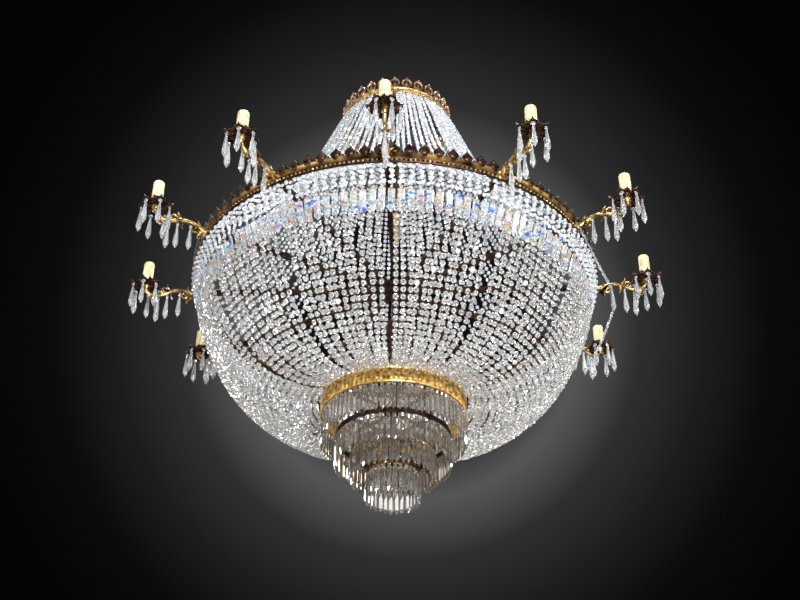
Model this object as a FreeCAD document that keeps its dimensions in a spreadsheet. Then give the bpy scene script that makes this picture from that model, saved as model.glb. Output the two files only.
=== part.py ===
import FreeCAD, Part
import math
import os
import re

import Sketcher

# A crystal chandelier of the tent-and-basket kind. The origin is the centre of the suspension eye's
# bore, +Z is up, and every "drop" below is a distance down from that centre. All sizes are in mm.
# The first arm points along -Y, and the others follow it every 30 degrees.

SIZES = [
    # suspension eye and central column
    ("eye_bore_radius", 12),
    ("eye_ring_radius", 25),
    ("eye_thickness", 14),
    ("eye_neck_radius", 11),
    ("eye_neck_drop", 46),
    ("column_radius", 8),
    ("column_bottom_drop", 1219),
    ("sleeve_rim", 2.5),
    ("knop_radius", 13),
    ("knop_drop", 446),
    ("knop_length", 94),
    ("baluster_radius", 27),
    ("baluster_drop", 785),
    ("baluster_length", 115),
    ("finial_radius", 14),
    ("finial_height", 16),
    # crown at the top of the tent
    ("crown_radius", 150),
    ("crown_wall", 4),
    ("crown_height", 18),
    ("crown_drop", 138),
    ("crown_leaf_count", 28),
    ("crown_leaf_width", 30),
    ("crown_leaf_height", 39),
    ("crown_leaf_lean", 3),
    ("crown_bar_count", 6),
    # main ring with its cresting
    ("ring_radius", 511),
    ("ring_wall", 6),
    ("ring_height", 26),
    ("ring_drop", 710),
    ("leaf_count", 96),
    ("leaf_width", 23),
    ("leaf_height", 26),
    ("leaf_thickness", 2),
    # spider that carries the main ring
    ("spoke_count", 12),
    ("spoke_width", 12),
    ("spoke_height", 12),
    ("hub_radius", 36),
    ("hub_height", 16),
    ("collar_radius", 15),
    ("collar_height", 12),
    ("bar_width", 8),
    ("bar_height", 5),
    # crystal strands
    ("strand_count", 48),
    ("strand_radius", 3.5),
    ("tent_steps", 4),
    ("tent_neck_flare", 56),
    ("tent_neck_fall", 102),
    ("tent_foot_inset", 226),
    ("tent_foot_rise", 110),
    ("tent_end_rise", 18),
    ("basket_steps", 5),
    ("basket_shoulder_inset", 16.6),
    ("basket_shoulder_fall", 67.6),
    ("basket_belly_inset", 96.7),
    ("basket_belly_fall", 404.6),
    # bead lace and plaques under the ring
    ("lace_depth", 53),
    ("lace_lean", 15),
    ("lace_bead_radius", 2.5),
    ("plaque_width", 16),
    ("plaque_thickness", 4),
    ("plaque_length", 60),
    ("plaque_point", 9),
    ("plaque_lean", 20),
    # bottom ring and the tiers of prisms
    ("bottom_radius", 173),
    ("bottom_wall", 5),
    ("bottom_height", 43),
    ("bottom_drop", 1071),
    ("bottom_bar_count", 4),
    ("prism_width", 13),
    ("prism_thickness", 5),
    ("prism_length", 72),
    ("prism_point", 11),
    ("prism_pitch", 29),
    ("hoop_wall", 3),
    ("hoop_height", 12),
    ("tier_two_radius", 137),
    ("tier_two_drop", 1130),
    ("tier_three_radius", 100),
    ("tier_three_drop", 1165),
    ("tier_four_radius", 62),
    ("tier_four_drop", 1218),
    # arms and lights
    ("arm_count", 12),
    ("candle_circle", 640),
    ("arm_radius", 6),
    ("arm_root_rise", 8),
    ("arm_arch_rise", 26),
    ("arm_dip_rise", 9),
    ("arm_plate_radius", 11),
    ("arm_plate_thickness", 4),
    ("dish_radius", 36),
    ("dish_notch", 7),
    ("dish_thickness", 4),
    ("cup_radius", 20),
    ("cup_wall", 4),
    ("cup_floor", 4),
    ("cup_depth", 14),
    ("sleeve_radius", 14),
    ("sleeve_wall", 2.4),
    ("sleeve_length", 62),
    ("sleeve_top_drop", 600),
    ("holder_radius", 10.5),
    ("holder_wall", 3),
    ("holder_length", 44),
    # drops on the arms
    ("drop_length", 64),
    ("drop_radius", 7),
    ("drop_shoulder", 0.68),
    ("link_length", 12),
    ("link_radius", 4),
    ("dish_drop_count", 6),
    ("dish_drop_inset", 10),
    ("pendant_share", 0.5531),
    ("outer_drop_share", 0.73),
    ("inner_drop_share", 0.307),
    # clearance between neighbouring pieces
    ("fit_gap", 0.3),
]
EYE_SIDES = 24
RING_SIDES = 48
HOOP_SIDES = 32
COLUMN_SIDES = 12
SLEEVE_SIDES = 12
HOLDER_SIDES = 6
CUP_SIDES = 8
ARM_SIDES = 6
DISH_LOBES = 6
PENDANT_SIDES = 6
DROP_SIDES = 4

doc = FreeCAD.newDocument("crystal_chandelier")
sheet = doc.addObject("Spreadsheet::Sheet", "Sizes")
for row, (alias, value) in enumerate(SIZES, start=1):
    sheet.set(f"A{row}", alias)
    sheet.set(f"B{row}", str(value))
    sheet.setAlias(f"B{row}", alias)
doc.recompute()
pieces = []


def bound(text):
    """An expression on the sheet's aliases, as a document expression."""
    return re.sub(r"\b([a-z]+(?:_[a-z]+)+)\b", r"Sizes.\1", text)


def size(text):
    """The value in mm of an expression on the sheet's aliases."""
    return float(sheet.evalExpression(bound(text)))


def origin_plane(body, role):
    return next(plane for plane in body.Origin.OriginFeatures if plane.Role == role)


def profile_sketch(body, role, points):
    """A closed polygon whose corners follow the sheet; points are pairs of expressions."""
    sketch = body.newObject("Sketcher::SketchObject", body.Name + "_profile")
    sketch.AttachmentSupport = [(origin_plane(body, role), "")]
    sketch.MapMode = "FlatFace"
    corners = [FreeCAD.Vector(size(across), size(up), 0) for across, up in points]
    count = len(corners)
    for index in range(count):
        sketch.addGeometry(Part.LineSegment(corners[index], corners[(index + 1) % count]), False)
    for index in range(count):
        sketch.addConstraint(Sketcher.Constraint("Coincident", index, 2, (index + 1) % count, 1))
    for index, (across, up) in enumerate(points):
        for kind, text in (("DistanceX", across), ("DistanceY", up)):
            number = sketch.addConstraint(Sketcher.Constraint(kind, -1, 1, index, 1, size(text)))
            sketch.setExpression(f"Constraints[{number}]", bound(text))
    return sketch


def made(label, shape):
    """A piece whose shape is worked out from the sheet by this file's own code."""
    feature = doc.addObject("Part::Feature", label)
    feature.Label = label
    feature.Shape = shape
    pieces.append(feature)
    return feature


def turned_by(shape, angle):
    copy = shape.copy()
    copy.rotate(FreeCAD.Vector(0, 0, 0), FreeCAD.Vector(0, 0, 1), angle)
    return copy


def around(shapes, count, first_angle):
    """Copies of some shapes, evenly spaced about the Z axis."""
    step = 360 / count
    return [turned_by(shape, first_angle + index * step) for index in range(count) for shape in shapes]


def polygon_face(points):
    """A flat face through some points; a point that repeats the one before it is left out."""
    before = points[-1:] + points[:-1]
    corners = [point for point, last in zip(points, before) if (point - last).Length > 1e-6]
    return Part.Face(Part.makePolygon([*corners, corners[0]]))


def faceted(stations, sides, first_angle, closed):
    """Flat facets about the Z axis through (radius, height) stations; a closed profile makes a ring."""
    angles = [math.radians(first_angle + 360 * index / sides) for index in range(sides)]
    ways = [FreeCAD.Vector(math.cos(angle), math.sin(angle), 0) for angle in angles]
    rings = []
    for radius, height in stations:
        rings.append([way * radius + FreeCAD.Vector(0, 0, height) for way in ways])
    pairs = list(zip(rings, rings[1:]))
    faces = []
    if closed:
        pairs.append((rings[-1], rings[0]))
    else:
        faces = [polygon_face(ring) for ring, (radius, _) in zip(rings, stations)
                 if radius > 0 and ring in (rings[0], rings[-1])]
    for upper, lower in pairs:
        for index in range(sides):
            after = (index + 1) % sides
            faces.append(polygon_face([upper[index], lower[index], lower[after], upper[after]]))
    solid = Part.makeSolid(Part.makeShell(faces))
    if solid.Volume < 0:
        solid.reverse()
    return solid


def turned_shape(label, points, sides, closed):
    """A turned shape in flat facets; its sketched (radius, height) profile follows the sheet."""
    body = doc.addObject("PartDesign::Body", label + "_outline")
    sketch = profile_sketch(body, "XZ_Plane", points)
    doc.recompute()
    stations = [(line.StartPoint.x, line.StartPoint.y) for line in sketch.Geometry]
    if not closed:
        stations = stations[1:-1]
    return faceted(stations, sides, strand_angle(), closed)


def turned(label, points, sides, closed):
    """A piece made of one turned shape."""
    return made(label, turned_shape(label, points, sides, closed))


def rim(text):
    """The distance from the axis to the middle of a ring's flat, from its corner radius."""
    return size(text) * math.cos(math.pi / RING_SIDES)


def section(centre, direction, radius, sides):
    """A regular polygon about a centre in the XZ plane, square to a direction in that plane."""
    along = FreeCAD.Vector(direction).normalize()
    beside = FreeCAD.Vector(0, 1, 0)
    above = along.cross(beside)
    corners = []
    for index in range(sides):
        angle = 2 * math.pi * index / sides
        corners.append(centre + beside * radius * math.cos(angle) + above * radius * math.sin(angle))
    return Part.makePolygon([*corners, corners[0]])


def rod_along(points, radii, sides):
    """A ruled rod through points in the XZ plane, with a radius at each point and an upright root."""
    wires = [section(points[0], FreeCAD.Vector(1, 0, 0), radii[0], sides)]
    for index in range(1, len(points)):
        after = points[min(index + 1, len(points) - 1)]
        wires.append(section(points[index], after - points[index - 1], radii[index], sides))
    return Part.makeLoft(wires, True, True)


def chain_along(points, radius):
    """Straight three-sided links through points in the XZ plane, each just clear of the next."""
    spans = [(after - before).normalize() for before, after in zip(points, points[1:])]
    trims = [0]
    for before, after in zip(spans, spans[1:]):
        trims.append(size("fit_gap") / 2 + radius * math.tan(before.getAngle(after) / 2))
    trims.append(0)
    links = []
    for index, along in enumerate(spans):
        start = points[index] + along * trims[index]
        end = points[index + 1] - along * trims[index + 1]
        links.append(Part.Face(section(start, along, radius, 3)).extrude(end - start))
    return links


def bezier(corners, share):
    """A point on the cubic curve through the first and last of four corners."""
    rest = 1 - share
    weights = (rest ** 3, 3 * rest ** 2 * share, 3 * rest * share ** 2, share ** 3)
    total = FreeCAD.Vector(0, 0, 0)
    for corner, weight in zip(corners, weights):
        total += corner * weight
    return total


def hanging_plate(width, thickness, length, point):
    """A flat prism that hangs from the origin, its lower end cut to a point."""
    outline = [
        FreeCAD.Vector(-thickness / 2, -width / 2, 0),
        FreeCAD.Vector(-thickness / 2, width / 2, 0),
        FreeCAD.Vector(-thickness / 2, width / 2, point - length),
        FreeCAD.Vector(-thickness / 2, 0, -length),
        FreeCAD.Vector(-thickness / 2, -width / 2, point - length),
    ]
    return polygon_face(outline).extrude(FreeCAD.Vector(thickness, 0, 0))


def standing_leaf(width, thickness, height):
    """A pointed bud-shaped leaf that stands on the origin, its back to the axis."""
    outline = [
        FreeCAD.Vector(0, -width * 0.3, 0),
        FreeCAD.Vector(0, width * 0.3, 0),
        FreeCAD.Vector(0, width * 0.5, height * 0.5),
        FreeCAD.Vector(0, 0, height),
        FreeCAD.Vector(0, -width * 0.5, height * 0.5),
    ]
    return polygon_face(outline).extrude(FreeCAD.Vector(thickness, 0, 0))


def faceted_drop(length, sides):
    """A long crystal drop below the origin: a narrow top, its widest belt and a pointed foot."""
    radius = size("drop_radius")
    stations = [(radius * 0.15, 0), (radius, -length * size("drop_shoulder")), (0, -length)]
    return faceted(stations, sides, 180 / sides, False)


def linked_drop():
    """A drop below a small cut link that starts at the origin."""
    link = size("link_length")
    length = size("drop_length")
    stations = [
        (size("link_radius") * 0.12, 0),
        (size("link_radius"), -link / 2),
        (size("drop_radius") * 0.3, -link),
        (size("drop_radius"), -link - length * size("drop_shoulder")),
        (0, -link - length),
    ]
    return faceted(stations, PENDANT_SIDES, 180 / PENDANT_SIDES, False)


def regular_tube(sides, outer, inner, height):
    """An upright tube with flat sides that stands on the origin; inner 0 makes it solid."""
    def outline(radius):
        corners = []
        for index in range(sides):
            angle = 2 * math.pi * index / sides
            corners.append(FreeCAD.Vector(radius * math.cos(angle), radius * math.sin(angle), 0))
        return polygon_face(corners)

    face = outline(outer)
    if inner > 0:
        face = face.cut(outline(inner))
    return face.extrude(FreeCAD.Vector(0, 0, height))


def moved(shape, radius, drop):
    """A shape carried out from the axis along X and down."""
    copy = shape.copy()
    copy.translate(FreeCAD.Vector(radius, 0, -drop))
    return copy


def bar(inner, outer, width, height, top_drop):
    """A flat bar along X."""
    corner = FreeCAD.Vector(inner, -width / 2, -top_drop - height)
    return Part.makeBox(outer - inner, width, height, corner)


def wheel(label, hub_radius, hub_height, bar_count, bar_width, bar_height, top_drop, reach, first_angle):
    """A hub on the column with bars that reach out to a ring."""
    hub = moved(regular_tube(COLUMN_SIDES, hub_radius, 0, hub_height), 0, top_drop + hub_height)
    bar_top = top_drop + (hub_height - bar_height) / 2
    arms = around([bar(0, reach, bar_width, bar_height, bar_top)], bar_count, first_angle)
    whole = hub.fuse(arms).removeSplitter()
    return made(label, whole.cut(column_bore(hub_height, top_drop + hub_height)))


def column_bore(height, foot_drop):
    """The room that the column needs through a hub or collar."""
    bore = size("column_radius + fit_gap") / math.cos(math.pi / COLUMN_SIDES)
    return moved(regular_tube(COLUMN_SIDES, bore, 0, height), 0, foot_drop)


def suspension_eye():
    """A flat forged eye on a short neck; its bore lies along Y."""
    neck_top = size("eye_bore_radius + 4")
    half = size("eye_thickness") / 2
    start = FreeCAD.Vector(0, -half, 0)
    along = FreeCAD.Vector(0, 1, 0)
    disc = regular_tube(EYE_SIDES, size("eye_ring_radius"), 0, 2 * half)
    disc.rotate(FreeCAD.Vector(0, 0, 0), FreeCAD.Vector(1, 0, 0), -90)
    disc.translate(start)
    neck_length = size("eye_neck_drop") - neck_top
    foot = FreeCAD.Vector(0, 0, -size("eye_neck_drop"))
    neck = regular_tube(COLUMN_SIDES, size("eye_neck_radius"), 0, neck_length)
    neck.translate(foot)
    hole = Part.makeCylinder(size("eye_bore_radius"), 2 * half, start, along)
    made("suspension_eye", disc.fuse(neck).cut(hole))


def central_column():
    """The column: a plain rod with a turned knop and a turned baluster slid on it."""
    turned("central_column", [
        ("0", "-eye_neck_drop"),
        ("column_radius", "-eye_neck_drop"),
        ("column_radius", "-column_bottom_drop"),
        ("0", "-column_bottom_drop"),
    ], COLUMN_SIDES, False)
    turned("column_knop", [
        ("column_radius + fit_gap * 2", "-knop_drop"),
        ("column_radius + sleeve_rim", "-knop_drop"),
        ("knop_radius", "-knop_drop - knop_length * 0.2"),
        ("knop_radius", "-knop_drop - knop_length * 0.8"),
        ("column_radius + sleeve_rim", "-knop_drop - knop_length"),
        ("column_radius + fit_gap * 2", "-knop_drop - knop_length"),
    ], COLUMN_SIDES, True)
    turned("column_baluster", [
        ("column_radius + fit_gap * 2", "-baluster_drop"),
        ("column_radius + sleeve_rim", "-baluster_drop"),
        ("baluster_radius * 0.7", "-baluster_drop - baluster_length * 0.12"),
        ("baluster_radius", "-baluster_drop - baluster_length * 0.45"),
        ("baluster_radius * 0.6", "-baluster_drop - baluster_length * 0.85"),
        ("column_radius + sleeve_rim", "-baluster_drop - baluster_length"),
        ("column_radius + fit_gap * 2", "-baluster_drop - baluster_length"),
    ], COLUMN_SIDES, True)


def crown():
    """The top hoop, its cresting and the bars that carry it on the column."""
    turned("crown_ring", [
        ("crown_radius - crown_wall", "-crown_drop"),
        ("crown_radius", "-crown_drop"),
        ("crown_radius", "-crown_drop + crown_height"),
        ("crown_radius - crown_wall", "-crown_drop + crown_height"),
    ], RING_SIDES, True)
    reach = rim("crown_radius - crown_wall") - size("fit_gap")
    wheel("crown_wheel", size("hub_radius * 0.6"), size("collar_height"), int(size("crown_bar_count")),
          size("bar_width"), size("bar_height"), size("crown_drop - crown_height + 3"), reach, 0)
    leaf = standing_leaf(size("crown_leaf_width"), size("leaf_thickness"), size("crown_leaf_height"))
    leaf.rotate(FreeCAD.Vector(0, 0, 0), FreeCAD.Vector(0, 1, 0), size("crown_leaf_lean"))
    seat = size("leaf_thickness") * math.sin(math.radians(size("crown_leaf_lean"))) + size("fit_gap")
    leaf = moved(leaf, size("crown_radius - crown_wall"), size("crown_drop - crown_height") - seat)
    made("crown_cresting", Part.makeCompound(around([leaf], int(size("crown_leaf_count")), 0)))


def main_ring():
    """The wide gilt ring with a cove between two mouldings, and its row of leaves.

    It is cast in as many lengths as there are arms, which meet behind the arms' roots.
    """
    whole = turned_shape("main_ring", [
        ("ring_radius - ring_wall", "-ring_drop"),
        ("ring_radius", "-ring_drop"),
        ("ring_radius", "-ring_drop + ring_height * 0.3"),
        ("ring_radius - ring_wall * 0.5", "-ring_drop + ring_height * 0.45"),
        ("ring_radius + 1", "-ring_drop + ring_height"),
        ("ring_radius - ring_wall", "-ring_drop + ring_height"),
    ], RING_SIDES, True)
    joint = bar(size("ring_radius - ring_wall * 2"), size("ring_radius + ring_wall"), size("fit_gap"),
                size("ring_height"), size("ring_drop - ring_height"))
    made("main_ring", whole.cut(around([joint], int(size("arm_count")), -90)))
    leaf = standing_leaf(size("leaf_width"), size("leaf_thickness"), size("leaf_height"))
    leaf = moved(leaf, size("ring_radius - leaf_thickness"), size("ring_drop - ring_height - fit_gap"))
    count = int(size("leaf_count"))
    made("main_cresting", Part.makeCompound(around([leaf], count, 180 / count)))
    reach = rim("ring_radius - ring_wall") - size("fit_gap")
    wheel("main_wheel", size("hub_radius"), size("hub_height"), int(size("spoke_count")),
          size("spoke_width"), size("spoke_height"), size("ring_drop - ring_height + 3"), reach, -90)


def strand_angle():
    """Strands hang between the arms, half a pitch from each."""
    return 180 / size("strand_count")


def tent():
    """Bead strands from the crown down to the inside of the main ring."""
    radius = size("strand_radius")
    start = FreeCAD.Vector(size("crown_radius - crown_wall / 2"), 0,
                           -size("crown_drop + strand_radius * 0.45 + fit_gap"))
    neck = FreeCAD.Vector(size("crown_radius + tent_neck_flare"), 0, -size("crown_drop + tent_neck_fall"))
    foot = FreeCAD.Vector(size("ring_radius - tent_foot_inset"), 0, -size("ring_drop - tent_foot_rise"))
    end = FreeCAD.Vector(size("ring_radius - ring_wall - fit_gap - strand_radius * 0.5"), 0,
                         -size("ring_drop - tent_end_rise"))
    steps = int(size("tent_steps"))
    points = [bezier((start, neck, foot, end), index / steps) for index in range(steps + 1)]
    strand = chain_along(points, radius)
    made("tent_strands", Part.makeCompound(around(strand, int(size("strand_count")), strand_angle())))


def lace_links():
    """Two leaning links of the zigzag, from one point under the ring to the points beside it."""
    radius = size("lace_bead_radius")
    half_pitch = math.radians(180 / size("strand_count"))
    top_radius = size("ring_radius - ring_wall / 2")
    top_drop = size("ring_drop + fit_gap") + radius * 0.6
    low_radius = size("ring_radius - ring_wall / 2 - lace_lean")
    low_drop = size("ring_drop + lace_depth") - radius * 0.6
    side = radius * 1.1
    links = []
    for turn in (-1, 1):
        high = FreeCAD.Vector(top_radius, turn * side, -top_drop)
        spread = turn * (half_pitch - side / low_radius)
        low = FreeCAD.Vector(low_radius * math.cos(spread), low_radius * math.sin(spread), -low_drop)
        along = (low - high).normalize()
        beside = along.cross(FreeCAD.Vector(1, 0, 0)).normalize()
        above = along.cross(beside)
        corners = []
        for index in range(3):
            angle = 2 * math.pi * index / 3
            corners.append(high + beside * radius * math.cos(angle) + above * radius * math.sin(angle))
        links.append(polygon_face(corners).extrude(low - high))
    return links


def lace():
    """The zigzag of bead links that hangs from the ring's lower edge."""
    made("lace_band", Part.makeCompound(around(lace_links(), int(size("strand_count")), 0)))


def plaque_top():
    """Where a plaque hangs: just under the lower ends of the lace."""
    foot = min(link.BoundBox.ZMin for link in lace_links())
    return size("ring_radius - ring_wall / 2 - lace_lean"), size("fit_gap") - foot


def plaque_tip():
    """The lower point of a leaning plaque."""
    radius, drop = plaque_top()
    lean = math.radians(size("plaque_lean"))
    length = size("plaque_length")
    return radius - length * math.sin(lean), drop + length * math.cos(lean)


def plaques():
    """The belt of flat pointed plaques between the lace and the basket."""
    plaque = hanging_plate(size("plaque_width"), size("plaque_thickness"), size("plaque_length"),
                           size("plaque_point"))
    plaque.rotate(FreeCAD.Vector(0, 0, 0), FreeCAD.Vector(0, 1, 0), size("plaque_lean"))
    radius, drop = plaque_top()
    rise = size("plaque_thickness") / 2 * math.sin(math.radians(size("plaque_lean")))
    plaque = moved(plaque, radius, drop + rise)
    made("plaque_belt", Part.makeCompound(around([plaque], int(size("strand_count")), strand_angle())))


def basket():
    """Bead strands from the plaques' points round the belly to the bottom ring."""
    tip_radius, tip_drop = plaque_tip()
    rise = size("plaque_thickness") / 2 * math.sin(math.radians(size("plaque_lean")))
    corners = (
        FreeCAD.Vector(size("ring_radius"), 0, -size("ring_drop")),
        FreeCAD.Vector(size("ring_radius - basket_shoulder_inset"), 0,
                       -size("ring_drop + basket_shoulder_fall")),
        FreeCAD.Vector(size("ring_radius - basket_belly_inset"), 0, -size("ring_drop + basket_belly_fall")),
        FreeCAD.Vector(size("bottom_radius + strand_radius + fit_gap * 3"), 0,
                       -size("bottom_drop - bottom_height + 4")),
    )
    first_share = 0.3
    steps = int(size("basket_steps"))
    points = [FreeCAD.Vector(tip_radius, 0, -tip_drop - rise - size("fit_gap * 2"))]
    for index in range(1, steps + 1):
        points.append(bezier(corners, first_share + (1 - first_share) * index / steps))
    strand = chain_along(points, size("strand_radius"))
    made("basket_strands", Part.makeCompound(around(strand, int(size("strand_count")), strand_angle())))


def bottom_ring():
    """The gilt ring that gathers the basket, with the bars that carry it."""
    turned("bottom_ring", [
        ("bottom_radius - bottom_wall", "-bottom_drop"),
        ("bottom_radius", "-bottom_drop"),
        ("bottom_radius + 1.5", "-bottom_drop + bottom_height * 0.5"),
        ("bottom_radius", "-bottom_drop + bottom_height"),
        ("bottom_radius - bottom_wall", "-bottom_drop + bottom_height"),
    ], RING_SIDES, True)
    reach = rim("bottom_radius - bottom_wall") - size("fit_gap")
    wheel("bottom_wheel", size("collar_radius"), size("collar_height"), int(size("bottom_bar_count")),
          size("bar_width"), size("bar_height"), size("bottom_drop - bottom_height / 2"), reach, 45)


def tier_prisms(label, radius, top_drop):
    """A row of pointed prisms close under a ring or hoop."""
    prism = hanging_plate(size("prism_width"), size("prism_thickness"), size("prism_length"),
                          size("prism_point"))
    prism = moved(prism, radius, top_drop + size("fit_gap"))
    count = round(2 * math.pi * radius / size("prism_pitch"))
    made(label, Part.makeCompound(around([prism], count, 180 / count)))


def tier_hoop(label, radius, drop):
    """A flat hoop soldered to cross bars and a collar on the column."""
    height = size("hoop_height")
    wall = size("hoop_wall")
    band = moved(regular_tube(HOOP_SIDES, radius, radius - wall, height), 0, drop)
    collar = moved(regular_tube(COLUMN_SIDES, size("collar_radius"), 0, height), 0, drop)
    bars = around([bar(0, radius - wall / 2, size("bar_width"), size("bar_height"), drop - height)],
                  int(size("bottom_bar_count")), 45)
    whole = band.fuse([collar, *bars]).removeSplitter()
    made(label, whole.cut(column_bore(height, drop)))


def tiers():
    """Four falling rows of prisms, the first on the bottom ring and the rest on hoops."""
    tier_prisms("prisms_one", size("bottom_radius - bottom_wall / 2"), size("bottom_drop"))
    for name in ("two", "three", "four"):
        radius = size(f"tier_{name}_radius")
        drop = size(f"tier_{name}_drop")
        tier_hoop(f"hoop_{name}", radius, drop)
        tier_prisms(f"prisms_{name}", radius - size("hoop_wall") / 2, drop)
    finial = regular_tube(6, size("finial_radius"), 0, size("finial_height"))
    finial = moved(finial, 0, size("column_bottom_drop + finial_height"))
    made("finial_nut", finial)


def cup_floor_drop():
    """The level that the candle sleeves stand on."""
    return size("sleeve_top_drop + sleeve_length + fit_gap")


def arm_plate_drop():
    """The top of the plate at an arm's end, under the cup and the drip dish."""
    return cup_floor_drop() + size("cup_floor + dish_thickness")


def arm_points():
    """The arched line of an arm, from the ring out to the plate."""
    root = rim("ring_radius") + size("fit_gap")
    reach = size("candle_circle") - root
    plate = arm_plate_drop() + size("arm_plate_thickness")
    level = size("ring_drop")
    return [
        FreeCAD.Vector(root, 0, -level + size("arm_root_rise")),
        FreeCAD.Vector(root + reach * 0.22, 0, -level + size("arm_arch_rise") * 0.85),
        FreeCAD.Vector(root + reach * 0.45, 0, -level + size("arm_arch_rise")),
        FreeCAD.Vector(root + reach * 0.68, 0, -level + size("arm_dip_rise")),
        FreeCAD.Vector(root + reach * 0.88, 0, -level + size("arm_dip_rise") * 0.8),
        FreeCAD.Vector(size("candle_circle"), 0, -plate - size("arm_radius")),
    ]


def arm_radii():
    """The arm's radius at each of its points, stouter at the root."""
    return [size("arm_radius") * share for share in (1.2, 1.2, 1, 1, 1, 0.9)]


def arms():
    """Twelve arched arms, each with a root plate on the ring and a plate under its light."""
    thin = size("arm_radius")
    rod = rod_along(arm_points(), arm_radii(), ARM_SIDES)
    plate = regular_tube(CUP_SIDES, size("arm_plate_radius"), 0, size("arm_plate_thickness") + thin * 1.4)
    foot = arm_plate_drop() + size("arm_plate_thickness") + thin * 1.4
    plate = moved(plate, size("candle_circle"), foot)
    arm = rod.fuse(plate).removeSplitter()
    made("arms", Part.makeCompound(around([arm], int(size("arm_count")), -90)))


def lights():
    """The drip dishes, cups, lampholders and candle sleeves at the arms' ends."""
    count = int(size("arm_count"))
    circle = size("candle_circle")
    floor = cup_floor_drop()
    corners = []
    for index in range(2 * DISH_LOBES):
        angle = math.pi * index / DISH_LOBES
        radius = size("dish_radius") - (index % 2) * size("dish_notch")
        corners.append(FreeCAD.Vector(radius * math.cos(angle), radius * math.sin(angle), 0))
    dish = polygon_face(corners).extrude(FreeCAD.Vector(0, 0, size("dish_thickness")))
    dish = moved(dish, circle, floor + size("cup_floor + dish_thickness"))
    made("drip_dishes", Part.makeCompound(around([dish], count, -90)))

    block = regular_tube(CUP_SIDES, size("cup_radius"), 0, size("cup_floor + cup_depth"))
    hollow = regular_tube(CUP_SIDES, size("cup_radius - cup_wall"), 0, size("cup_depth"))
    hollow.translate(FreeCAD.Vector(0, 0, size("cup_floor")))
    cup = moved(block.cut(hollow), circle, floor + size("cup_floor"))
    made("leaf_cups", Part.makeCompound(around([cup], count, -90)))

    holder = regular_tube(HOLDER_SIDES, size("holder_radius"), size("holder_radius - holder_wall"),
                          size("holder_length"))
    holder = moved(holder, circle, floor - size("fit_gap"))
    made("lampholders", Part.makeCompound(around([holder], count, -90)))

    sleeve = regular_tube(SLEEVE_SIDES, size("sleeve_radius"), size("sleeve_radius - sleeve_wall"),
                          size("sleeve_length"))
    sleeve = moved(sleeve, circle, size("sleeve_top_drop + sleeve_length"))
    for number, copy in enumerate(around([sleeve], count, -90), start=1):
        made(f"candle_sleeve_{number:02d}", copy)


def crystal_drops():
    """The drops that hang from the dishes and arms, and one swinging pendant under each arm."""
    count = int(size("arm_count"))
    circle = size("candle_circle")
    root = arm_points()[0].x
    drop = faceted_drop(size("link_length + drop_length"), DROP_SIDES)
    top = cup_floor_drop() + size("cup_floor + dish_thickness + fit_gap")
    reach = size("dish_radius - dish_drop_inset")
    each = int(size("dish_drop_count"))
    hung = []
    for index in range(each):
        angle = math.radians((0.5 + index) * 360 / each)
        copy = drop.copy()
        copy.translate(FreeCAD.Vector(circle + reach * math.cos(angle), reach * math.sin(angle), -top))
        hung.append(copy)
    for share in ("outer_drop_share", "inner_drop_share"):
        radius = root + (circle - root) * size(share)
        hung.append(moved(drop, radius, under_arm(radius)))
    made("dish_drops", Part.makeCompound(around(hung, count, -90)))

    pivot_radius = root + (circle - root) * size("pendant_share")
    swinging = moved(linked_drop(), pivot_radius, under_arm(pivot_radius))
    for number, copy in enumerate(around([swinging], count, -90), start=1):
        made(f"arm_pendant_{number:02d}", copy)
    print("pendant top drop", round(under_arm(pivot_radius), 3), "at radius", round(pivot_radius, 3))


def under_arm(radius):
    """The drop just under an arm's lower flat at a radius."""
    points = arm_points()
    radii = arm_radii()
    for index, (near, far) in enumerate(zip(points, points[1:])):
        if near.x <= radius <= far.x:
            share = (radius - near.x) / (far.x - near.x)
            slope = (far.z - near.z) / (far.x - near.x)
            middle = near.z + slope * (radius - near.x)
            corner = radii[index] + (radii[index + 1] - radii[index]) * share
            below = corner * math.cos(math.pi / ARM_SIDES) * math.hypot(1, slope)
            return below + size("fit_gap * 2") - middle
    raise ValueError("no arm at this radius")


def check_and_write():
    doc.recompute()
    for item in doc.Objects:
        if "Invalid" in item.State or "Error" in item.State:
            raise RuntimeError(f"{item.Label} failed")
    os.makedirs("parts", exist_ok=True)
    triangles = 0
    for piece in pieces:
        shape = piece.Shape
        if shape.isNull() or not shape.isValid() or not shape.Solids:
            raise RuntimeError(f"{piece.Label} has no valid shape")
        shape.exportStep(f"parts/{piece.Label}.step")
        mesh = shape.tessellate(max(0.01, min(0.5, 0.0002 * shape.BoundBox.DiagonalLength)))
        triangles += len(mesh[1])
        print(piece.Label, len(shape.Solids), len(mesh[1]))
    print("pieces", len(pieces), "triangles", triangles)


suspension_eye()
central_column()
crown()
tent()
main_ring()
lace()
plaques()
basket()
bottom_ring()
tiers()
arms()
lights()
crystal_drops()
check_and_write()
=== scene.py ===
"""A crystal chandelier: bead tent, gilt ring with twelve candle arms, bead basket and tiers of prisms."""
import math
import random

import bpy
from mathutils import Matrix, Vector


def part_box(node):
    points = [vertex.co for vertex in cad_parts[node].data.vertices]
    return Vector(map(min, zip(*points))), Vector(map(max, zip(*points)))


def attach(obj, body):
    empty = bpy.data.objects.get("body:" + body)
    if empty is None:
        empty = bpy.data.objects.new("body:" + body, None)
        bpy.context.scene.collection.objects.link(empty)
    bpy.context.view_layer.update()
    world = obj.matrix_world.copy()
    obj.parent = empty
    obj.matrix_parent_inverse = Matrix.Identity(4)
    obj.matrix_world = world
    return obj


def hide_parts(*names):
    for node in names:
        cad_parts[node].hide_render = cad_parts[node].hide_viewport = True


MM = 0.001
FULL_TURN = 2 * math.pi
ARM_COUNT = 12
FIRST_ARM = -90
ARM_PITCH = 360 / ARM_COUNT
SECTORS = ARM_COUNT
RING_FLATS = 48
SEED = 11

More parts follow.
